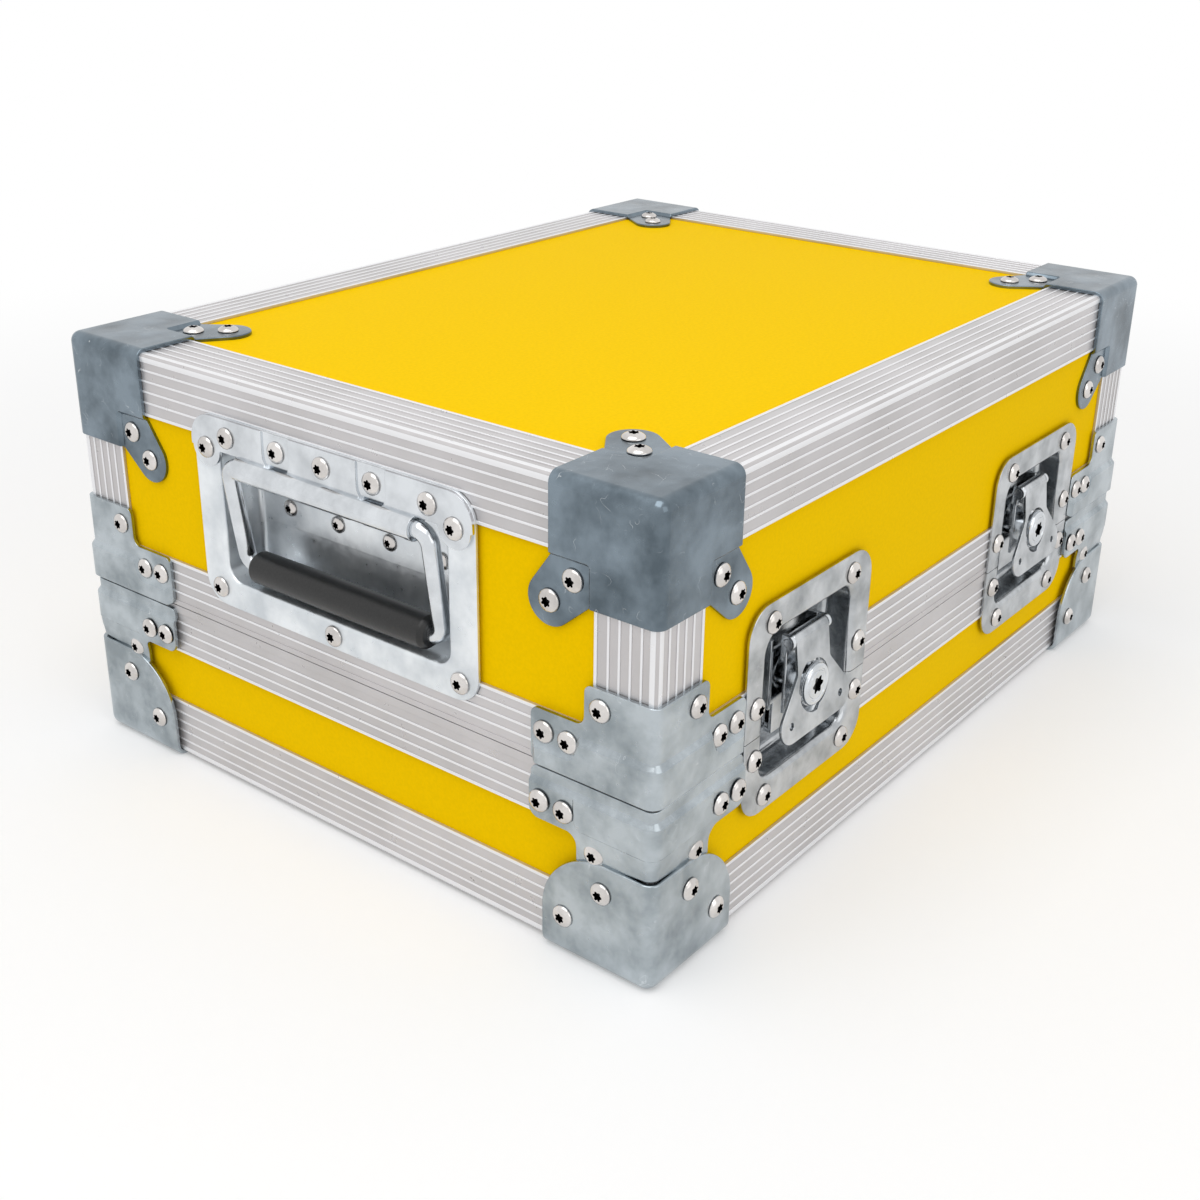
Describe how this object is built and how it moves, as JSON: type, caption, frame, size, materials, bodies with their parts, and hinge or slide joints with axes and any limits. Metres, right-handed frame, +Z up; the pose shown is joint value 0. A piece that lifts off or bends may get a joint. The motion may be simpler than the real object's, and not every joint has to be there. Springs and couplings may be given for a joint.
{
  "type": "flight case",
  "caption": "Small flight case with a hinged deep lid, ribbed metal edges, steel corners, recessed twist latches and a recessed handle on one end.",
  "frame": {"origin": "middle of the footprint, on the plane the bottom caps stand on", "axes": "+X along the latch face to the right, +Y from the latch face to the hinges, +Z up"},
  "size_m": [0.4601, 0.3629, 0.2123],
  "materials": {
    "laminate": "plywood faced with a yellow fine-grained laminate, satin",
    "aluminium": "satin anodised, ribbed extrusion",
    "zinc_steel": "bright zinc plated pressed steel, softly mottled",
    "latch_steel": "zinc plated pressed steel, neutral tone",
    "bright_steel": "bright plated steel",
    "screws": "polished button heads",
    "grip": "black satin sleeve",
    "foam": "charcoal foam sheet"
  },
  "bodies": {
    "base": {"base_floor_panel": "laminate", "base_front_panel": "laminate", "base_back_panel": "laminate", "base_left_panel": "laminate", "base_right_panel": "laminate", "bottom_edges_long": "aluminium", "bottom_edges_short": "aluminium", "base_rails_long": "aluminium", "base_rails_short": "aluminium", "base_posts": "aluminium", "bottom_caps": "zinc_steel", "base_braces": "zinc_steel", "keeper_dish_left": "latch_steel", "keeper_dish_right": "latch_steel", "base_hinge_leaves": "zinc_steel", "hinge_pins": "bright_steel", "base_foam": "foam", "base_screws": "screws"},
    "lid": {"lid_top_panel": "laminate", "lid_front_panel": "laminate", "lid_back_panel": "laminate", "lid_left_panel": "laminate", "lid_right_panel": "laminate", "top_edges_long": "aluminium", "top_edges_short": "aluminium", "lid_rails_long": "aluminium", "lid_rails_short": "aluminium", "lid_posts": "aluminium", "top_caps": "zinc_steel", "lid_braces": "zinc_steel", "latch_dish_left": "latch_steel", "latch_dish_right": "latch_steel", "latch_base_left": "latch_steel", "latch_base_right": "latch_steel", "handle_dish": "zinc_steel", "handle_hinge_plate": "bright_steel", "handle_back_plate": "zinc_steel", "lid_hinge_leaves": "zinc_steel", "lid_foam": "foam", "lid_screws": "screws", "handle_screws": "screws"},
    "handle": {"handle_bail": "bright_steel", "handle_grip": "grip"},
    "spindle_left": {"latch_spindle_left": "bright_steel", "latch_pin_left": "bright_steel"},
    "wing_left": {"latch_wing_left": "latch_steel"},
    "claw_left": {"latch_claw_left": "latch_steel"},
    "spindle_right": {"latch_spindle_right": "bright_steel", "latch_pin_right": "bright_steel"},
    "wing_right": {"latch_wing_right": "latch_steel"},
    "claw_right": {"latch_claw_right": "latch_steel"}
  },
  "joints": [
    {"name": "lid_hinge", "type": "hinge", "parent": "base", "child": "lid", "pos_m": [0, 0.1785, 0.08595], "axis": [-1, 0, 0], "range_deg": [0, 100]},
    {"name": "handle_swing", "type": "hinge", "parent": "lid", "child": "handle", "pos_m": [-0.2255, 0, 0.1708], "axis": [0, 1, 0], "range_deg": [0, 98], "stiffness_Nm_per_rad": 0.06, "springref_deg": -34.38},
    {"name": "latch_turn_left", "type": "hinge", "parent": "lid", "child": "spindle_left", "pos_m": [-0.113, -0.1744, 0.0961], "axis": [0, -1, 0], "range_deg": [0, 180]},
    {"name": "wing_fold_left", "type": "hinge", "parent": "spindle_left", "child": "wing_left", "pos_m": [-0.113, -0.1716, 0.1191], "axis": [-1, 0, 0], "range_deg": [0, 83]},
    {"name": "claw_travel_left", "type": "slide", "parent": "lid", "child": "claw_left", "axis": [0, -0.45, -0.893], "range_m": [0, 0.008]},
    {"name": "latch_turn_right", "type": "hinge", "parent": "lid", "child": "spindle_right", "pos_m": [0.113, -0.1744, 0.0961], "axis": [0, -1, 0], "range_deg": [0, 180]},
    {"name": "wing_fold_right", "type": "hinge", "parent": "spindle_right", "child": "wing_right", "pos_m": [0.113, -0.1716, 0.1191], "axis": [-1, 0, 0], "range_deg": [0, 83]},
    {"name": "claw_travel_right", "type": "slide", "parent": "lid", "child": "claw_right", "axis": [0, -0.45, -0.893], "range_m": [0, 0.008]}
  ],
  "couplings": [
    {"joint": "claw_travel_left", "follows": "latch_turn_left", "m_per_rad": 0.002546},
    {"joint": "claw_travel_right", "follows": "latch_turn_right", "m_per_rad": 0.002546}
  ]
}
